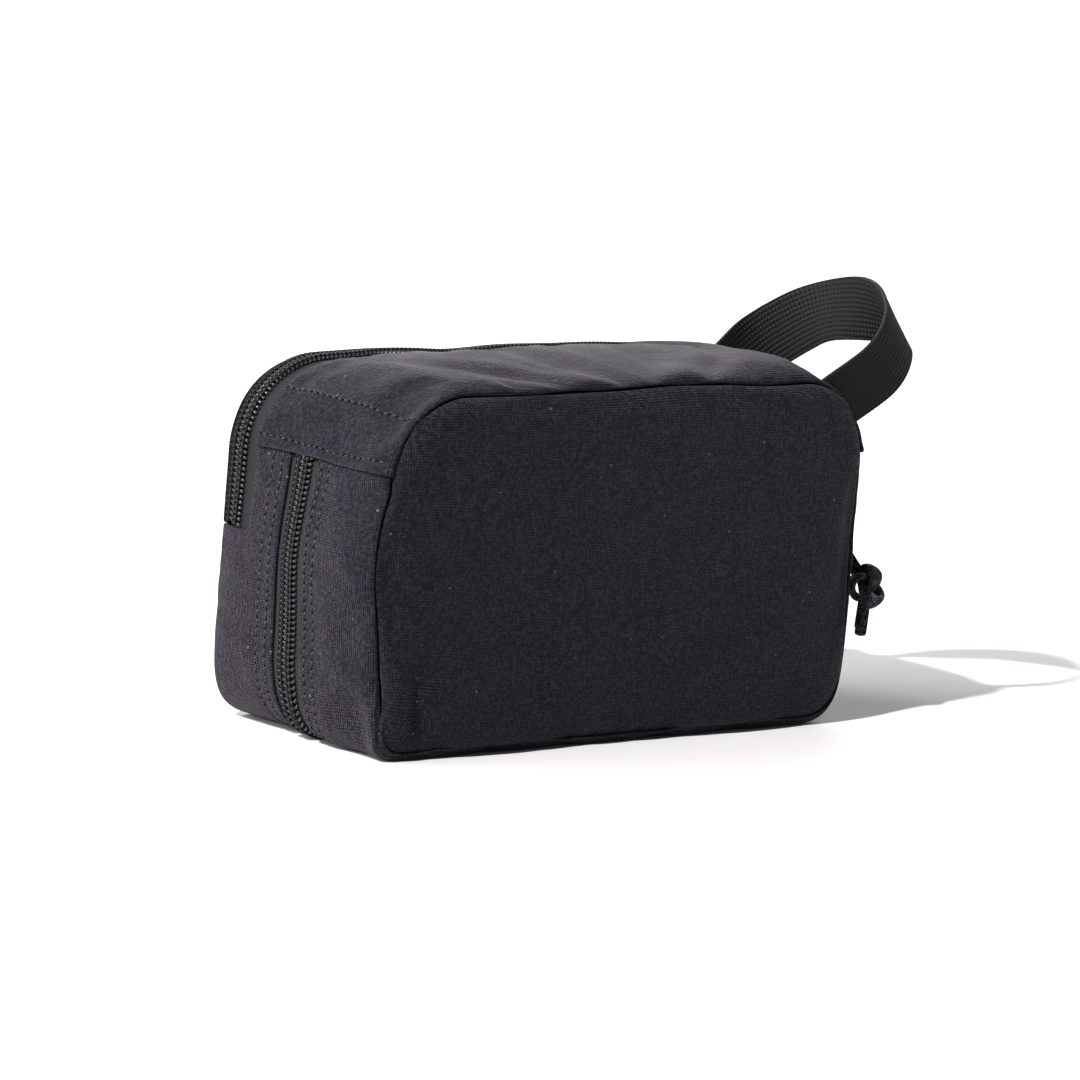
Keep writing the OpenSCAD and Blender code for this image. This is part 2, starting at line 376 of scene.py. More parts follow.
swelling_limit = 7 * MM
air = shell.modifiers.new("air", "CLOTH")
cloth = air.settings
cloth.quality = 5
cloth.mass = 0.35
cloth.tension_stiffness = 12
cloth.compression_stiffness = 12
cloth.shear_stiffness = 6
cloth.bending_stiffness = 1.2
cloth.air_damping = 4
cloth.use_pressure = True
cloth.uniform_pressure_force = 1.2
cloth.shrink_min = -0.012
cloth.vertex_group_mass = "held"
cloth.pin_stiffness = 3
cloth.effector_weights.gravity = 0
air.collision_settings.use_collision = False
for step in range(1, 21):
    bpy.context.scene.frame_set(step)
filled = shell.evaluated_get(bpy.context.evaluated_depsgraph_get()).data
filled_places = [vertex.co.copy() for vertex in filled.vertices]
shell.modifiers.remove(air)
bpy.context.scene.frame_set(1)
for index, place in enumerate(filled_places):
    start = shell_mesh.vertices[index].co
    moved = (place - start) * (1 - 0.65 * ease((outline_depth(flat_places[index]) - 3 * MM) / (14 * MM)))
    if moved.length > swelling_limit:
        moved = moved.normalized() * swelling_limit
    shell_mesh.vertices[index].co = start + moved

# How the bag stands.
# Its weight has pressed the lower near corner square, with a soft fold beside it in the back panel.


def puffed(place):
    """Rounds the canvas out on both sides of each seam, and domes the ends and the top."""
    x, y, z = place
    depth = outline_depth(place)
    if half_depth - abs(y) < 3 * MM and depth > 1 * MM:
        rise = 3.6 * MM * (1 - math.exp(-(depth - 1 * MM) / (4 * MM)))
        place = place + Vector((0, math.copysign(rise, y), 0))
    else:
        from_seam = max(half_depth - abs(y) - seam_inset, 0)
        roll_out = 1.7 * MM * (1 - math.exp(-from_seam / (3.5 * MM)))
        dome = 3.2 * MM * (1 - (y / half_depth) ** 2)
        if abs(x) > straight_x + 12 * MM and z < straight_z + 20 * MM:
            dome *= 0.25 + 0.75 * ease((0.104 - z) / 0.04)
        else:
            dome *= 0.6 * ease((x + 0.125) / 0.09)
        rise = (roll_out + dome) * ease((z - 0.003) / 0.03)
        if x > 0 and z < straight_z:
            over_zip = max(1 - ease((abs(y) - 9 * MM) / 0.008), ease((y - 0.024) / 0.006))
            rise *= 1 - over_zip * ease((x - 0.085) / 0.02)
        place = place - inward(place) * rise
    if x < 0:
        full = ease((0.03 - y) / 0.07) * math.exp(-((z - 0.074) / 0.027) ** 2)
        place.x -= 5.6 * MM * full * ease((-x - 0.06) / 0.05)
    return place


def settle(place):
    """Where a place on the bag ends up as the bag stands."""
    x, y, z = puffed(place)
    if z < corner_radius and abs(x) > straight_x:
        over_x, under_z = abs(x) - straight_x, corner_radius - z
        reach = math.hypot(over_x, under_z)
        if reach > 0:
            near = ease((0.022 - y) / 0.07)
            power = 3.4 + (4 if x < 0 else 0.6) * near
            square = ((over_x / reach) ** power + (under_z / reach) ** power) ** (-1 / power)
            x = math.copysign(straight_x + over_x * square, x)
            z = corner_radius - under_z * square
    low = ease((0.052 - z) / 0.03) * ease((z - 0.002) / 0.012)
    if y < -0.03:
        y += 2.6 * MM * low * math.exp(-((x + 0.1035) / 0.0052) ** 2)
        y -= 1.8 * MM * low * math.exp(-((x + 0.1125) / 0.0055) ** 2)
    top = ease((z - 0.118) / 0.018)
    z += top * 1.5 * MM * noise.noise(Vector((x * 26, y * 30, 3.1)))
    z -= top * 1.6 * MM * math.exp(-((x + 0.055) / 0.03) ** 2 - ((y + 0.036) / 0.013) ** 2)
    pinch = math.exp(-((z - 0.099) / 0.004) ** 2 - ((y + 0.041) / 0.007) ** 2)
    if x < -straight_x:
        x += 2.4 * MM * pinch
    return Vector((x, y, max(z, 0.15 * MM)))


rough = 0.35 * MM
shell_mesh.update()
for index, flat in enumerate(flat_places):
    vertex = shell_mesh.vertices[index]
    place = vertex.co.copy()
    if not in_zip_window(flat) and not on_seam(flat):
        amount = rough * (1 - 0.6 * ease(outline_depth(flat) / (12 * MM)))
        place += vertex.normal * amount * noise.noise(flat * 70)
        place += vertex.normal * 2 * amount * noise.noise(flat * 24 + Vector((7, 0, 0)))
    vertex.co = settle(place)
flat_layer = shell_mesh.attributes.new("flat", "FLOAT_VECTOR", "POINT")
for index, flat in enumerate(flat_places):
    flat_layer.data[index].vector = flat
shell_mesh.update()

# Canvas.
# Charcoal waxed canvas: a plain weave, soft mottling from the wax, paler rubbed folds and a little lint.


def canvas_finish(name, shade, thread=0.95):
    cloth = Finish(name, Roughness=0.7, Specular_IOR_Level=0.16, Sheen_Weight=0.07, Sheen_Roughness=0.35,
                   Sheen_Tint=(1, 0.88, 1, 1), Specular_Tint=(1, 0.9, 1, 1))
    uv = cloth.wire("ShaderNodeUVMap", settings={"uv_map": "weave"})
    place = cloth.wire("ShaderNodeTexCoord", "Object")
    rows = []
    for direction in ("X", "Y"):
        rows.append(cloth.wire(
            "ShaderNodeTexWave", "Fac",
            {"wave_type": "BANDS", "bands_direction": direction, "wave_profile": "SIN"},
            {"Vector": uv, "Scale": 20 / (thread * MM) / 63.0, "Distortion": 2.2, "Detail": 3,
             "Detail Scale": 1.6},
        ))
    threads = rows[0] * rows[1]
    slubs = cloth.wire("ShaderNodeTexNoise", "Fac", None, {"Vector": place, "Scale": 620, "Detail": 3})
    mottle = cloth.wire("ShaderNodeTexNoise", "Fac", None, {"Vector": place, "Scale": 34, "Detail": 7})
    cloudy = cloth.wire("ShaderNodeValToRGB", "Color", {"stops": ((0.3, 0.0), (0.75, 1.0))}, {"Fac": mottle})
    grains = cloth.wire("ShaderNodeValToRGB", "Color", {"stops": ((0.35, 0.0), (0.68, 1.0))}, {"Fac": slubs})
    lint = cloth.wire("ShaderNodeTexVoronoi", "Distance", {"feature": "F1"},
                      {"Vector": place, "Scale": 150, "Randomness": 1})
    speck = cloth.wire("ShaderNodeValToRGB", "Color", {"stops": ((0.06, 1.0), (0.1, 0.0))}, {"Fac": lint})
    pick = cloth.wire("ShaderNodeTexNoise", "Fac", None, {"Vector": place, "Scale": 60, "Detail": 1})
    picked = cloth.wire("ShaderNodeValToRGB", "Color", {"stops": ((0.52, 0.0), (0.6, 1.0))}, {"Fac": pick})
    rubbed = cloth.wire("ShaderNodeNewGeometry", "Pointiness")
    fold = cloth.wire("ShaderNodeValToRGB", "Color", {"stops": ((0.51, 0.0), (0.58, 1.0))}, {"Fac": rubbed})
    dark = tuple(0.05 * part for part in shade)
    pale = tuple(4.6 * part for part in shade)
    grain = grains * 0.75 + threads * 0.6 + cloudy * 0.16 - 0.32
    colour = cloth.blend(grain, dark, pale)
    colour = cloth.blend(fold * 0.3, colour, tuple(2.4 * part for part in shade))
    colour = cloth.blend(speck * picked * 0.6, colour, (0.12, 0.115, 0.12))
    cloth.set("Base Color", colour)
    cloth.set("Roughness", 0.6 + 0.2 * cloudy)
    cloth.raise_surface(threads * 0.7 + grains * 0.7, 0.5 * MM, 1.0)
    return cloth.material


canvas = canvas_finish("waxed_canvas", (0.0043, 0.0041, 0.0068))
canvas_thickness = 1.5 * MM
hem_place = straight_z + corner_radius * (2 / corner_cells) * math.sqrt(0.5)
top_seam_x = straight_x + corner_radius * (10 / corner_cells) * math.sqrt(0.5)


def finish_sheet(name, bm, material, thickness, rounding=1):
    """Turns a single layer of cloth into a piece with a real thickness and soft edges."""
    mesh = bpy.data.meshes.new(name)
    bm.to_mesh(mesh)
    bm.free()
    mesh.materials.append(material)
    for polygon in mesh.polygons:
        polygon.use_smooth = True
    piece = bpy.data.objects.new(name, mesh)
    bpy.context.scene.collection.objects.link(piece)
    wall = piece.modifiers.new("thickness", "SOLIDIFY")
    wall.thickness = thickness
    wall.offset = -1
    if rounding:
        softness = piece.modifiers.new("softness", "SUBSURF")
        softness.levels = rounding
        softness.render_levels = rounding
    return piece


def canvas_piece(name, wanted, lift=0.0):
    """Cuts one canvas piece out of the shell, lifted where it lies on another."""
    bm = bmesh.new()
    bm.from_mesh(shell_mesh)
    flat = bm.verts.layers.float_vector["flat"]
    spare = []
    for face in bm.faces:
        middle = sum((vertex[flat] for vertex in face.verts), Vector()) / len(face.verts)
        side = "band"
        if all(abs(vertex[flat].y + half_depth) < 0.01 * MM for vertex in face.verts):
            side = "back"
        elif all(abs(vertex[flat].y - half_depth) < 0.01 * MM for vertex in face.verts):
            side = "front"
        if not wanted(middle, side):
            spare.append(face)
    bmesh.ops.delete(bm, geom=spare, context="FACES")
    if lift:
        bm.normal_update()
        for vertex in bm.verts:
            height = vertex[flat].z
            share = 0.15 + 0.55 * ease((0.122 - height) / 0.01) + 0.9 * ease((0.1095 - height) / 0.004)
            vertex.co += vertex.normal * lift * share
    return finish_sheet(name, bm, canvas, canvas_thickness)


# Back panel.
# One large plain piece with a turned seam all round.
back_panel = canvas_piece("back_panel_canvas", lambda middle, side: side == "back")
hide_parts("back_panel", "back_panel_head")
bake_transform(back_panel)

# Gussets.
# Two long strips that run down one end, under the bag and up the other, either side of the centre zip.
under_hem = hem_place + 2.5 * MM


def back_strip(middle, side):
    return side == "band" and middle.y < -zip_edge and middle.z < under_hem


def front_strip(middle, side):
    inner = zip_edge < middle.y < edge_zip_back and middle.z < under_hem
    outer = middle.y > edge_zip_back and middle.z < flap_height
    return side == "band" and (inner or outer)


back_gusset = canvas_piece("back_gusset_canvas", back_strip)
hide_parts("back_gusset")
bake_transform(back_gusset)
front_gusset = canvas_piece("front_gusset_canvas", front_strip)
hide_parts("front_gusset")
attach(front_gusset, "bag")

# Corner patches and top panel.
# A patch wraps each upper corner, over the end of the centre zip. Its hem is turned under and stands proud.
hem_lift = 1.3 * MM


def corner_patch(direction):
    """The test for faces of the patch on one end, -1 for the left and 1 for the right."""
    def wanted(middle, side):
        reach = middle.x * direction
        on_corner = reach > top_seam_x or (middle.z < straight_z + 20 * MM and reach > straight_x)
        return side == "band" and middle.z > hem_place and middle.y < edge_zip_back and on_corner
    return wanted


left_patch = canvas_piece("left_patch_canvas", corner_patch(-1), hem_lift)
right_patch = canvas_piece("right_patch_canvas", corner_patch(1), hem_lift)
for patch, node in ((left_patch, "left_corner_patch"), (right_patch, "right_corner_patch")):
    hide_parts(node)
    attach(patch, "bag")
top_panel = canvas_piece(
    "top_panel_canvas",
    lambda middle, side: side == "band" and middle.y < edge_zip_back and middle.z > straight_z
    and abs(middle.x) < top_seam_x + 2 * MM,
    0.2 * MM,
)
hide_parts("top_panel")
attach(top_panel, "bag")

# Front panel.
# The lower stretch is sewn to the gusset.


def front_cloth(middle, side):
    return side == "front" or (side == "band" and middle.y > 45.9 * MM and middle.z > flap_height)


front_panel = canvas_piece("front_panel_canvas", front_cloth)
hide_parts("front_panel", "front_flap")
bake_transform(front_panel)

# Zip tracks.
# A zip lies flat on a track first, and is then bent round the bag. A place on it is its distance
# along the zip, its distance across and its height above the tape.
quarter_turn = corner_radius * math.pi / 2
half_way_round = 2 * straight_x + 2 * quarter_turn + height - 2 * corner_radius
tape_depth = 1.6 * MM


def round_outline(reach):
    """A place on the outline from the middle of the bottom, and the direction out of the bag there."""
    side = -1 if reach < 0 else 1
    reach = abs(reach)
    if reach <= straight_x:
        return Vector((side * reach, 0, 0)), Vector((0, 0, -1))
    reach -= straight_x
    if reach <= quarter_turn:
        turn = reach / corner_radius
        out = Vector((side * math.sin(turn), 0, -math.cos(turn)))
        return Vector((side * straight_x, 0, corner_radius)) + out * corner_radius, out
    reach -= quarter_turn
    if reach <= straight_z - corner_radius:
        return Vector((side * half_length, 0, corner_radius + reach)), Vector((side, 0, 0))
    reach -= straight_z - corner_radius
    if reach <= quarter_turn:
        turn = reach / corner_radius
        out = Vector((side * math.cos(turn), 0, math.sin(turn)))
        return Vector((side * straight_x, 0, straight_z)) + out * corner_radius, out
    reach -= quarter_turn
    return Vector((side * (straight_x - reach), 0, height)), Vector((0, 0, 1))


def under_slider(along):
    """How much lower a zip lies on the right end, where its slider runs over it."""
    return 0.7 * MM * ease((along - 0.02) / 0.06)


def centre_track(place):
    outline, out = round_outline(place.x)
    outline.y = place.y
    return settle(outline + out * (place.z - tape_depth - under_slider(place.x)))


edge_zip_middle = 39 * MM


def edge_track(place):
    side = -1 if place.x < 0 else 1
    outline, out = round_outline(side * (half_way_round - abs(place.x)))
    outline.y = edge_zip_middle + place.y
    return settle(outline + out * (place.z - tape_depth - under_slider(place.x)))


# Zip tapes.
# Woven nylon tape with fine ribs along it, sewn under the folded edges of the canvas.


def tape_finish():
    woven = Finish("zip_tape", Roughness=0.68, Specular_IOR_Level=0.2, Sheen_Weight=0.05)
    uv = woven.wire("ShaderNodeUVMap", settings={"uv_map": "weave"})
    ribs = woven.wire(
        "ShaderNodeTexWave", "Fac", {"wave_type": "BANDS", "bands_direction": "DIAGONAL"},
        {"Vector": uv, "Scale": 420, "Distortion": 1.5, "Detail": 1})
    speckle = woven.wire("ShaderNodeTexNoise", "Fac", None, {"Vector": uv, "Scale": 1300, "Detail": 2})
    woven.set("Base Color", woven.blend(ribs * 0.35 + speckle * 0.9 - 0.25, (0.002, 0.0018, 0.0023),
                                        (0.014, 0.0125, 0.0155)))
    woven.raise_surface(ribs + speckle * 0.8, 0.25 * MM, 0.8)
    return woven.material


zip_tape = tape_finish()


def tape_piece(name, track, start, end, inner, outer):
    length = end - start
    bm = bmesh.new()
    cells = round(length / (3 * MM))
    bmesh.ops.create_grid(bm, x_segments=cells, y_segments=4, size=1)
    uv = bm.loops.layers.uv.new("weave")
    for vertex in bm.verts:
        along = start + (vertex.co.x + 1) / 2 * length
        over = inner + (vertex.co.y + 1) / 2 * (outer - inner)
        vertex.co = (along, over, 0)
    for face in bm.faces:
        for loop in face.loops:
            loop[uv].uv = loop.vert.co.xy
    for vertex in bm.verts:
        vertex.co = track(vertex.co)
    middle = bm.faces[:][len(bm.faces) // 2]
    bm.normal_update()
    out = middle.calc_center_median() - Vector((0, middle.calc_center_median().y, height / 2))
    if middle.normal.dot(out) < 0:
        bmesh.ops.reverse_faces(bm, faces=bm.faces)
    return finish_sheet(name, bm, zip_tape, 0.7 * MM, 0)


centre_end = straight_x + quarter_turn + hem_place - corner_radius + 1.5 * MM
edge_end = straight_x + quarter_turn + straight_z - flap_height - 1.5 * MM
tape_gap = 0.2 * MM
tape_reach = 12 * MM
centre_front_tape = tape_piece(
    "centre_front_tape", centre_track, -centre_end, centre_end, tape_gap, tape_reach)
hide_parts("side_zip_front_tape")
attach(centre_front_tape, "bag")
centre_back_tape = tape_piece(
    "centre_back_tape", centre_track, -centre_end, centre_end, -tape_gap, -tape_reach)
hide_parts("side_zip_back_tape")
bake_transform(centre_back_tape)
edge_back_tape = tape_piece(
    "edge_back_tape", edge_track, -edge_end - 3 * MM, edge_end + 3 * MM, -tape_gap, -14 * MM)
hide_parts("top_zip_back_tape")
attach(edge_back_tape, "bag")
edge_front_tape = tape_piece(
    "edge_front_tape", edge_track, -edge_end, edge_end, tape_gap, 7.4 * MM)
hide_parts("top_zip_front_tape")
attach(edge_front_tape, "front_flap")

# Zip coils.
# Each side is one nylon filament wound into loops round a filler cord. The loops' heads hook between
# those of the other side, and two lines of thread sew them to the tape.
coil_pitch = 2.1 * MM
filament = 0.58 * MM
cord_side = 2.3 * MM
cord_height = 1.05 * MM
cord_radius = 0.95 * MM
nylon = Finish("black_nylon", Base_Color=(0.022, 0.02, 0.023, 1), Roughness=0.3, Specular_IOR_Level=0.7)
thread_finish = Finish("sewing_thread", Base_Color=(0.004, 0.004, 0.0045, 1), Roughness=0.6,
                       Specular_IOR_Level=0.2)


def sweep_round(bm, places, radius, sides):
    """A closed round rod through some places, drawn out from a disc at the first."""
    turned = (places[1] - places[0]).to_track_quat("Z", "X").to_matrix().to_4x4()
    made = bmesh.ops.create_circle(
        bm, segments=sides, radius=radius, cap_ends=True, matrix=Matrix.Translation(places[0]) @ turned)
    face = made["verts"][0].link_faces[0]
    for last, place in zip(places, places[1:]):
        made = bmesh.ops.extrude_face_region(bm, geom=[face])["geom"]
        ring = [part for part in made if isinstance(part, bmesh.types.BMVert)]
        face = [part for part in made if isinstance(part, bmesh.types.BMFace)][0]
        bmesh.ops.translate(bm, verts=ring, vec=place - last)


def finish_plain(name, bm, material):
    """Turns solid shapes into a smooth piece as they are."""
    mesh = bpy.data.meshes.new(name)
    bm.to_mesh(mesh)
    bm.free()
    mesh.materials.append(material)
    for polygon in mesh.polygons:
        polygon.use_smooth = True
    piece = bpy.data.objects.new(name, mesh)
    bpy.context.scene.collection.objects.link(piece)
    return piece


def coil_loop():
    """One loop of a coil, lying along the track at 0, with its head at the middle."""
    turns = [Vector(place) * MM for place in (
        (-0.55, 3.8, 0.45), (-0.4, 4.35, 1.0), (-0.15, 3.9, 1.65), (0.2, 2.4, 1.95),
        (0.45, 0.9, 1.9), (0.5, -0.2, 1.2), (0.45, 0.9, 0.5),
    )]
    bm = bmesh.new()
    sweep_round(bm, turns, filament, 6)
    mesh = bpy.data.meshes.new("coil_loop")
    bmesh.ops.recalc_face_normals(bm, faces=bm.faces)
    bm.to_mesh(mesh)
    bm.free()
    return mesh


def thread_loops():
    """The two stitches that hold one loop of a coil."""
    bm = bmesh.new()
    for over in (1.75, 3.35):
        tilt = Matrix.Rotation(math.radians(-28), 4, "Z")
        place = Matrix.Translation(Vector((0.25, over, 2.2)) * MM)
        shape = Matrix.Diagonal((1.25 * MM, 0.42 * MM, 0.34 * MM, 1))
        bmesh.ops.create_uvsphere(bm, u_segments=6, v_segments=4, radius=1, matrix=place @ tilt @ shape)
    mesh = bpy.data.meshes.new("thread_loops")
    bm.to_mesh(mesh)
    bm.free()
    return mesh


loop_shape, thread_shape = coil_loop(), thread_loops()


def chain(name, shape, material, track, start, end, side):
    """Repeats a shape along one side of a zip, and bends the row round the bag."""
    bm = bmesh.new()
    count = int((end - start) / coil_pitch)
    for index in range(count):
        made = len(bm.verts)
        bm.from_mesh(shape)
        bm.verts.ensure_lookup_table()
        along = start + (index + (0.5 if side > 0 else 0)) * coil_pitch
        for vertex in bm.verts[made:]:
            vertex.co.x += along
            vertex.co.y *= side
    if side < 0:
        bmesh.ops.reverse_faces(bm, faces=bm.faces)
    for vertex in bm.verts:
        vertex.co = track(vertex.co)
    return finish_plain(name, bm, material)


slider_below = straight_x + quarter_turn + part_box("side_slider")[0].z - corner_radius + 8 * MM
edge_slider_above = straight_x + quarter_turn + straight_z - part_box("top_slider")[1].z + 8 * MM
zips = (
    ("centre_front", centre_track, -centre_end, slider_below, 1, "side_zip_front_coil", "bag"),
    ("centre_back", centre_track, -centre_end, slider_below, -1, "side_zip_back_coil", "back_half"),
    ("edge_back", edge_track, -edge_end, edge_slider_above, -1, "top_zip_back_coil", "bag"),
    ("edge_front", edge_track, -edge_end, edge_slider_above, 1, "top_zip_front_coil", "front_flap"),
)
for label, track, start, end, side, node, body in zips:
    coil = chain(label + "_coil", loop_shape, nylon.material, track, start, end, side)
    threads = chain(label + "_coil_thread", thread_shape, thread_finish.material, track, start, end, side)
    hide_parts(node)
    bm = bmesh.new()
    steps = round((end - start) / (2.5 * MM))
    spots = [start + (end - start) * step / steps for step in range(steps + 1)]
    middles = [track(Vector((along, side * cord_side, cord_height))) for along in spots]
    sweep_round(bm, middles, cord_radius, 8)
    cord = finish_plain(label + "_filler_cord", bm, thread_finish.material)
    for piece in (coil, threads, cord):
        if body == "back_half":
            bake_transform(piece)
        else:
            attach(piece, body)

# Topstitching.
# Two rows hold the canvas to the tape on each side of the centre zip, and two rows cross each corner
# patch, at its hem and near its top. Each stitch is a short thread that sinks a little into the cloth.
topstitch = Finish("topstitch_thread", Base_Color=(0.008, 0.0075, 0.009, 1), Roughness=0.5,
                   Specular_IOR_Level=0.35)
# The needle holes are painted shade: flat near-black discs stand in for the shade inside each hole.
needle_hole_painted_shade = Finish("needle_hole_painted_shade", Base_Color=(0.0012, 0.0012, 0.0014, 1), Roughness=0.9,
                     Specular_IOR_Level=0.05)
stitch_pitch = 3.5 * MM
stitch_length = 2.5 * MM
thread_radius = 0.55 * MM
stitch_sink = 0.1 * MM


def surface_of(*pieces):
    """The outer faces of some canvas pieces, ready to find the nearest place on them."""
    places, faces = [], []
    for piece in pieces:
        first = len(places)
        places += [vertex.co.copy() for vertex in piece.data.vertices]
        faces += [[first + index for index in polygon.vertices] for polygon in piece.data.polygons]
    return BVHTree.FromPolygons(places, faces)


def running_lengths(row):
    """The distance from the first place of a row to each of them."""
    lengths = [0.0]
    for first, second in zip(row, row[1:]):
        lengths.append(lengths[-1] + (second - first).length)
    return lengths


def places_along(row, distances):
    """The place and the direction at each distance along a row of places."""
    lengths = running_lengths(row)
    spot = 0
    for along in distances:
        while spot < len(lengths) - 2 and lengths[spot + 1] < along:
            spot += 1
        share = (along - lengths[spot]) / max(lengths[spot + 1] - lengths[spot], 1e-9)
        yield row[spot].lerp(row[spot + 1], share), (row[spot + 1] - row[spot]).normalized()


def sew(bm, surface, row):
    """One row of stitches through some nominal places, laid on the cloth."""
    row = [settle(place) for place in row]
    length = running_lengths(row)[-1]
    count = int(length / stitch_pitch)
    distances = [(number + 1) / 2 * length / count for number in range(2 * count)]
    for number, (middle, ahead) in enumerate(places_along(row, distances)):
        is_painted_hole_shade = number % 2 == 1
        found, normal, _, distance = surface.find_nearest(middle)
        if found is None or distance > 8 * MM:
            continue
        lying = (ahead - normal * ahead.dot(normal)).normalized()
        turned = Matrix((lying, normal.cross(lying), normal)).transposed().to_4x4()
        shape = Matrix.Diagonal((stitch_length / 2, thread_radius, thread_radius, 1))
        place = Matrix.Translation(found - normal * stitch_sink)
        # Between stitches goes a flat near-black disc, painted shade standing in for the needle hole.
        if is_painted_hole_shade:
            shape = Matrix.Diagonal((0.55 * MM, 0.55 * MM, 0.22 * MM, 1))
            place = Matrix.Translation(found)
        made = bmesh.ops.create_uvsphere(
            bm, u_segments=6, v_segments=5, radius=1, matrix=place @ turned @ shape)
        for face in {face for vertex in made["verts"] for face in vertex.link_faces}:
            face.material_index = int(is_painted_hole_shade)


def stitching(name, surface, rows):
    bm = bmesh.new()
    for row in rows:
        sew(bm, surface, row)
    piece = finish_plain(name, bm, topstitch.material)
    piece.data.materials.append(needle_hole_painted_shade.material)
    return piece


def band_row(y, start, end):
    """Places along the gusset at one depth, between two distances round the outline."""
    steps = round(abs(end - start) / (2 * MM))
    row = []
    for step in range(steps + 1):
        outline, _ = round_outline(start + (end - start) * step / steps)
        outline.y = y
        row.append(outline)
    return row


def cross_row(reach, start, end):
    """Places across the gusset at one distance round the outline."""
    outline, _ = round_outline(reach)
    steps = round(abs(end - start) / (2 * MM))
    return [Vector((outline.x, start + (end - start) * step / steps, outline.z)) for step in range(steps + 1)]


hem_reach = straight_x + quarter_turn + hem_place - corner_radius
back_rows = stitching(
    "back_gusset_stitching", surface_of(back_gusset),
    [band_row(y, -hem_reach, hem_reach) for y in stitch_rows["back"]])
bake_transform(back_rows)
front_rows = stitching(
    "front_gusset_stitching", surface_of(front_gusset),
    [band_row(y, -hem_reach, hem_reach) for y in stitch_rows["front"]])
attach(front_rows, "bag")
hem_turn = math.asin((hem_place - straight_z) / corner_radius)
top_turn = math.acos((top_seam_x - straight_x) / corner_radius)
hem_stitch = straight_x + quarter_turn + straight_z - corner_radius + corner_radius * hem_turn + 4 * MM
top_stitch = straight_x + quarter_turn + straight_z - corner_radius + corner_radius * top_turn - 2 * MM
patch_rows = []
for direction in (-1, 1):
    for reach in (hem_stitch, top_stitch):
        patch_rows.append(cross_row(direction * reach, -half_depth + 3 * MM, edge_zip_back - 2 * MM))
patch_stitching = stitching("patch_stitching", surface_of(left_patch, right_patch), patch_rows)
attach(patch_stitching, "bag")

# Linings, divider and bindings.
# Thin plain cloth inside, hung slack from the seams. Woven tape covers the raw edges.
lining_finish = Finish("lining_cloth", Base_Color=(0.028, 0.027, 0.026, 1), Roughness=0.55,
                       Specular_IOR_Level=0.3, Sheen_Weight=0.05)
fine_weave = lining_finish.wire("ShaderNodeUVMap", settings={"uv_map": "weave"})
ripstop = lining_finish.wire("ShaderNodeTexChecker", "Fac", None, {"Vector": fine_weave, "Scale": 1800})
lining_finish.set("Roughness", 0.5 + 0.12 * ripstop)
lining_finish.raise_surface(ripstop, 0.1 * MM, 0.4)
lining = lining_finish.material
binding_finish = canvas_finish("binding_tape", (0.01, 0.01, 0.0105), 0.8)


def lining_piece(name, y, shrink, slack, floor_at=0.0):
    bm = bmesh.new()
    grid_panel(bm, 0)
    uv = bm.loops.layers.uv.new("weave")
    low = [face for face in bm.faces if face.calc_center_median().z < floor_at]
    bmesh.ops.delete(bm, geom=low, context="FACES")
    for face in bm.faces:
        for loop in face.loops:
            loop[uv].uv = (loop.vert.co.x, loop.vert.co.z)
    for vertex in bm.verts:
        place = vertex.co
        wave = noise.noise(Vector((place.x * 22, place.z * 30, y * 90)))
        wave += 0.5 * noise.noise(Vector((place.x * 60, place.z * 50, y * 90 + 4)))
        edge = min(outline_depth(place) / (12 * MM), 1)
        vertex.co = (place.x * shrink, y + slack * wave * edge, height / 2 + (place.z - height / 2) * shrink)
    bmesh.ops.recalc_face_normals(bm, faces=bm.faces)
    return finish_sheet(name, bm, lining, 0.6 * MM)


divider = lining_piece("divider_cloth", 14 * MM, 0.965, 2 * MM)
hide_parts("divider_panel")
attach(divider, "bag")
back_lining = lining_piece("back_lining_cloth", -39.5 * MM, 0.955, 1.2 * MM)
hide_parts("back_lining")
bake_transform(back_lining)
front_lining = lining_piece("front_lining_cloth", 40.5 * MM, 0.955, 1.2 * MM)
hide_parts("front_lining", "flap_lining")
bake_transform(front_lining)


def binding_piece(name, y, start, end):
    """Tape folded over a seam's raw edge, standing in from the canvas."""
    bm = bmesh.new()
    cells = round((end - start) / (4 * MM))
    bmesh.ops.create_grid(bm, x_segments=cells, y_segments=4, size=1)
    uv = bm.loops.layers.uv.new("weave")
    for vertex in bm.verts:
        vertex.co = (start + (vertex.co.x + 1) / 2 * (end - start), vertex.co.y, 0)
    for face in bm.faces:
        for loop in face.loops:
            loop[uv].uv = (loop.vert.co.x, loop.vert.co.y * 5 * MM)
    for vertex in bm.verts:
        reach, fold = vertex.co.x, vertex.co.y * math.pi / 2
        if reach > half_way_round:
            reach -= 2 * half_way_round
        outline, out = round_outline(reach)
        outline.y = y + 1.1 * MM * math.sin(fold)
        vertex.co = settle(outline - out * (4 * MM + 3.5 * MM * math.cos(fold)))
    return finish_sheet(name, bm, binding_finish, 0.5 * MM, 0)


back_binding = binding_piece("back_binding_tape", -43 * MM, -hem_reach, hem_reach)
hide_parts("back_binding")
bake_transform(back_binding)
head_binding = binding_piece("head_binding_tape", -43 * MM, hem_reach, 2 * half_way_round - hem_reach)
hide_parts("head_binding")
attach(head_binding, "bag")

# Webbing loop.
# One length of ribbed nylon webbing, caught in the seams either side of the upper right corner.
# It stands out, turns over as it comes back and goes down into the seam by the front zip.


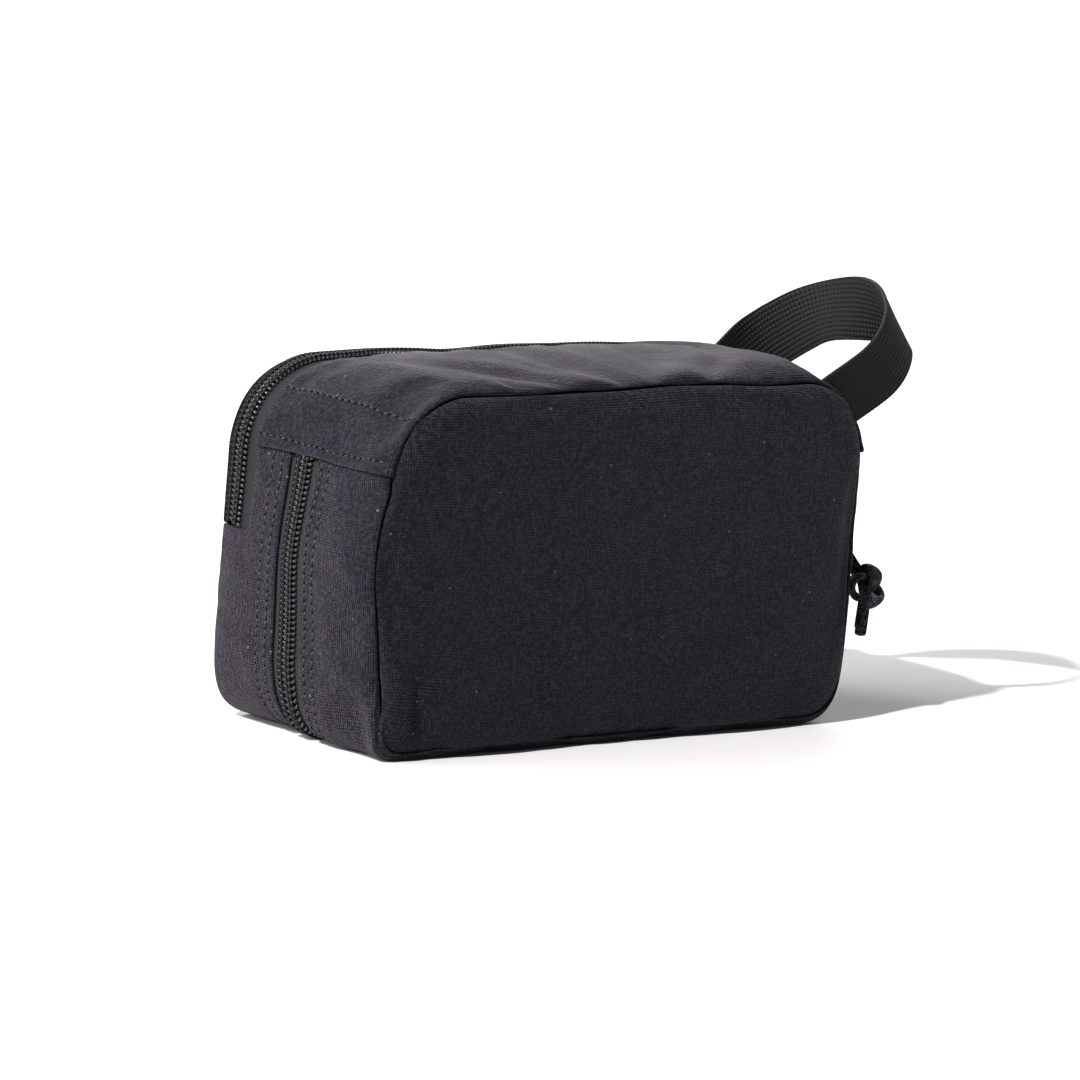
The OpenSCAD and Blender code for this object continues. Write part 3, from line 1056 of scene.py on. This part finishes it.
def webbing_finish():
    woven = Finish("webbing", Roughness=0.6, Specular_IOR_Level=0.13, Sheen_Weight=0.02)
    uv = woven.wire("ShaderNodeUVMap", settings={"uv_map": "weave"})
    across_ribs = woven.wire(
        "ShaderNodeTexWave", "Fac", {"wave_type": "BANDS", "bands_direction": "Y"},
        {"Vector": uv, "Scale": 20 / (1.9 * MM) / 63, "Distortion": 0.5, "Detail": 1})
    along_ribs = woven.wire(
        "ShaderNodeTexWave", "Fac", {"wave_type": "BANDS", "bands_direction": "X"},
        {"Vector": uv, "Scale": 20 / (1.5 * MM) / 63, "Distortion": 0.8, "Detail": 1})
    yarn = woven.wire("ShaderNodeTexNoise", "Fac", None, {"Vector": uv, "Scale": 1500, "Detail": 2})
    cells = across_ribs * along_ribs
    woven.set("Base Color", woven.blend(cells * 0.8 + yarn * 0.35, (0.001, 0.0009, 0.0012),
                                        (0.0085, 0.0072, 0.0092)))
    woven.raise_surface(cells + yarn * 0.3, 0.5 * MM, 0.9)
    return woven.material


webbing = webbing_finish()


def smooth_route(points, count):
    """Evenly spaced places on a smooth curve through some points."""
    curve = []
    for index in range(len(points) - 1):
        before = points[max(index - 1, 0)]
        first, second = points[index], points[index + 1]
        after = points[min(index + 2, len(points) - 1)]
        for step in range(12):
            t = step / 12
            curve.append(0.5 * (
                2 * first + (second - before) * t
                + (2 * before - 5 * first + 4 * second - after) * t * t
                + (3 * first - before - 3 * second + after) * t ** 3
            ))
    curve.append(points[-1].copy())
    length = running_lengths(curve)[-1]
    distances = [length * number / count for number in range(count + 1)]
    return [place for place, _ in places_along(curve, distances)]


def heading(places, index):
    """The way a row of places runs at one of them."""
    return (places[min(index + 1, len(places) - 1)] - places[max(index - 1, 0)]).normalized()


def flat_band(name, places, sides, width, thickness, material, cells):
    """A flat woven band through some places, with its width direction at each."""
    bm = bmesh.new()
    bmesh.ops.create_grid(bm, x_segments=len(places) - 1, y_segments=cells, size=1)
    uv = bm.loops.layers.uv.new("weave")
    length = running_lengths(places)[-1]
    for face in bm.faces:
        for loop in face.loops:
            loop[uv].uv = ((loop.vert.co.x + 1) / 2 * length, loop.vert.co.y * width / 2)
    for vertex in bm.verts:
        index = round((vertex.co.x + 1) / 2 * (len(places) - 1))
        ahead = heading(places, index)
        side = (sides[index] - ahead * sides[index].dot(ahead)).normalized()
        vertex.co = places[index] + side * vertex.co.y * width / 2
    piece = finish_plain(name, bm, material)
    wall = piece.modifiers.new("thickness", "SOLIDIFY")
    wall.thickness = thickness
    wall.offset = 0
    edges = piece.modifiers.new("edges", "BEVEL")
    edges.width = thickness * 0.3
    edges.segments = 2
    edges.limit_method = "ANGLE"
    return piece


loop_tilt = math.radians(41)
loop_seat = math.radians(46)
loop_base = Vector((straight_x, 0, straight_z))
loop_base += Vector((math.cos(loop_seat), 0, math.sin(loop_seat))) * corner_radius
loop_out = Vector((math.cos(loop_tilt), 0, math.sin(loop_tilt)))
loop_up = Vector((-math.sin(loop_tilt), 0, math.cos(loop_tilt)))
loop_points = [loop_base + loop_out * out * MM + Vector((0, y * MM, 0)) for out, y in (
    (-3, -42), (3, -44.2), (10, -47), (17.5, -49.2), (25, -49), (33.5, -46), (41.5, -40),
    (46.5, -30), (47, -16), (44, -3.5), (38.4, 5.5), (29.6, 12.3), (19.5, 17.6), (8.6, 21.6), (-4, 24),
)]
loop_route = smooth_route(loop_points, 110)
loop_sides = []
for index in range(len(loop_route)):
    share = index / (len(loop_route) - 1)
    twist = ease((share - 0.3) / 0.35) * ease((1 - share) / 0.2)
    loop_sides.append((loop_up + Vector((0.95, 0, 0.1)) * twist).normalized())
strap = flat_band("webbing_loop", loop_route, loop_sides, 25 * MM, 1.7 * MM, webbing, 12)
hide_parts("strap_loop")
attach(strap, "strap")

# Sliders, wire loops and stops.
# Cast zinc with black enamel, worn a little bright in small scattered spots.


def enamel_finish():
    metal = Finish("black_enamel", Roughness=0.32, Metallic=0.0, Specular_IOR_Level=0.5)
    place = metal.wire("ShaderNodeTexCoord", "Object")
    worn = metal.wire("ShaderNodeTexNoise", "Fac", None, {"Vector": place, "Scale": 500, "Detail": 4})
    bare = metal.wire("ShaderNodeValToRGB", "Color", {"stops": ((0.62, 0.0), (0.7, 1.0))}, {"Fac": worn})
    metal.set("Base Color", metal.blend(bare * 0.5, (0.014, 0.014, 0.015), (0.25, 0.25, 0.25)))
    metal.set("Metallic", bare * 0.8)
    metal.set("Roughness", 0.28 + 0.25 * worn)
    return metal.material


enamel = enamel_finish()
metal_nodes = (
    "side_slider", "top_slider", "side_pull_ring", "top_pull_ring",
    "side_zip_stop", "top_zip_left_stop", "top_zip_right_stop",
)
for material, nodes in ((enamel, metal_nodes), (webbing, ("strap_back_tab", "strap_front_tab"))):
    for node in nodes:
        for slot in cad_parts[node].material_slots:
            slot.material = material

# Ribbon pulls.
# A length of flat braided ribbon is looped through each slider's wire, and both ends are tied in one
# overhand knot, with a short cut tail below it.
ribbon_finish = canvas_finish("braided_ribbon", (0.021, 0.0195, 0.0228), 1.1)


def sweep_flat(bm, places, sides, width, thickness, uv):
    """A soft flat rod with an oval section through some places."""
    rings = []
    for index, place in enumerate(places):
        ahead = heading(places, index)
        side = (sides[index] - ahead * sides[index].dot(ahead)).normalized()
        out = ahead.cross(side)
        turned = Matrix((side * width / 2, out * thickness / 2, ahead)).transposed().to_4x4()
        made = bmesh.ops.create_circle(bm, segments=10, radius=1, matrix=Matrix.Translation(place) @ turned)
        rings.append(made["verts"])
    for first, second in zip(rings, rings[1:]):
        edges = {edge for ring in (first, second) for vertex in ring for edge in vertex.link_edges
                 if edge.other_vert(vertex) in ring}
        bmesh.ops.bridge_loops(bm, edges=list(edges))
    for ring in (rings[0], rings[-1]):
        bmesh.ops.contextual_create(bm, geom=ring)
    for face in bm.faces:
        for loop in face.loops:
            loop[uv].uv = (loop.vert.co.z, loop.vert.co.y)


def ribbon_pull(name, y, top_z, knot, tail):
    wire_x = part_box("side_pull_ring")[0].x + 1 * MM
    start = Vector((wire_x + 1.2 * MM, y, top_z))
    bm = bmesh.new()
    uv = bm.loops.layers.uv.new("weave")
    lean = (knot - start).normalized()
    for offset in (-1, 1):
        swing = Vector((offset * 0.8 * MM, 0, 0))
        points = [
            start + Vector((-0.9 * MM + swing.x, 0, 1.2 * MM)),
            start + swing + lean * 6 * MM,
            start.lerp(knot, 0.5) + Vector((2.5 * MM, 0, 1 * MM)) + swing * 1.6,
            start.lerp(knot, 0.82) + Vector((1.5 * MM, 0, 0)) + swing,
            knot,
        ]
        route = smooth_route(points, 16)
        sweep_flat(bm, route, [Vector((0, 1, 0.1))] * len(route), 6.4 * MM, 1.7 * MM, uv)
    turns = []
    for step in range(57):
        turn = 2 * math.pi * step / 56
        turns.append(Vector((
            math.cos(turn) - 2 * math.cos(2 * turn),
            math.sin(turn) + 2 * math.sin(2 * turn),
            -1.35 * math.sin(3 * turn),
        )))
    across_knot = Vector((0.75, -0.6, 0.15)).normalized()
    facing = across_knot.cross(lean).normalized()
    upright = facing.cross(across_knot).normalized()
    seat = Matrix((across_knot, upright * 1.4, facing)).transposed()
    route = [knot + seat @ (point * 1.95 * MM) for point in turns]
    sides = [heading(route, index).cross((place - knot).normalized()) for index, place in enumerate(route)]
    sweep_flat(bm, route, sides, 8.2 * MM, 3.2 * MM, uv)
    for offset in (-1, 1):
        points = [
            knot, knot.lerp(tail, 0.4) + Vector((0.6 * offset * MM, 0.8 * offset * MM, 0)),
            tail + Vector((1.2 * offset * MM, 1.4 * offset * MM, (1 + offset) * MM)),
        ]
        route = smooth_route(points, 10)
        sweep_flat(bm, route, [Vector((0.7, -0.7, 0))] * len(route), 5 * MM, 1.7 * MM, uv)
    bmesh.ops.recalc_face_normals(bm, faces=bm.faces)
    piece = finish_plain(name, bm, ribbon_finish)
    softness = piece.modifiers.new("softness", "SUBSURF")
    softness.levels = 1
    softness.render_levels = 1
    return piece


side_pull = ribbon_pull(
    "side_ribbon_pull", 0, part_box("side_pull_ring")[0].z,
    Vector((half_length + 18 * MM, -38 * MM, 51 * MM)), Vector((half_length + 14.5 * MM, -40 * MM, 32 * MM)))
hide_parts("side_pull_ribbon")
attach(side_pull, "side_pull")
front_pull = ribbon_pull(
    "front_ribbon_pull", edge_zip_middle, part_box("top_pull_ring")[0].z,
    Vector((half_length + 13 * MM, 33 * MM, 42 * MM)), Vector((half_length + 12 * MM, 31 * MM, 23.5 * MM)))
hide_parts("top_pull_ribbon")
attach(front_pull, "top_pull")

# Closing.
# The shell was only a pattern to cut from, and is removed.
bpy.data.objects.remove(shell)
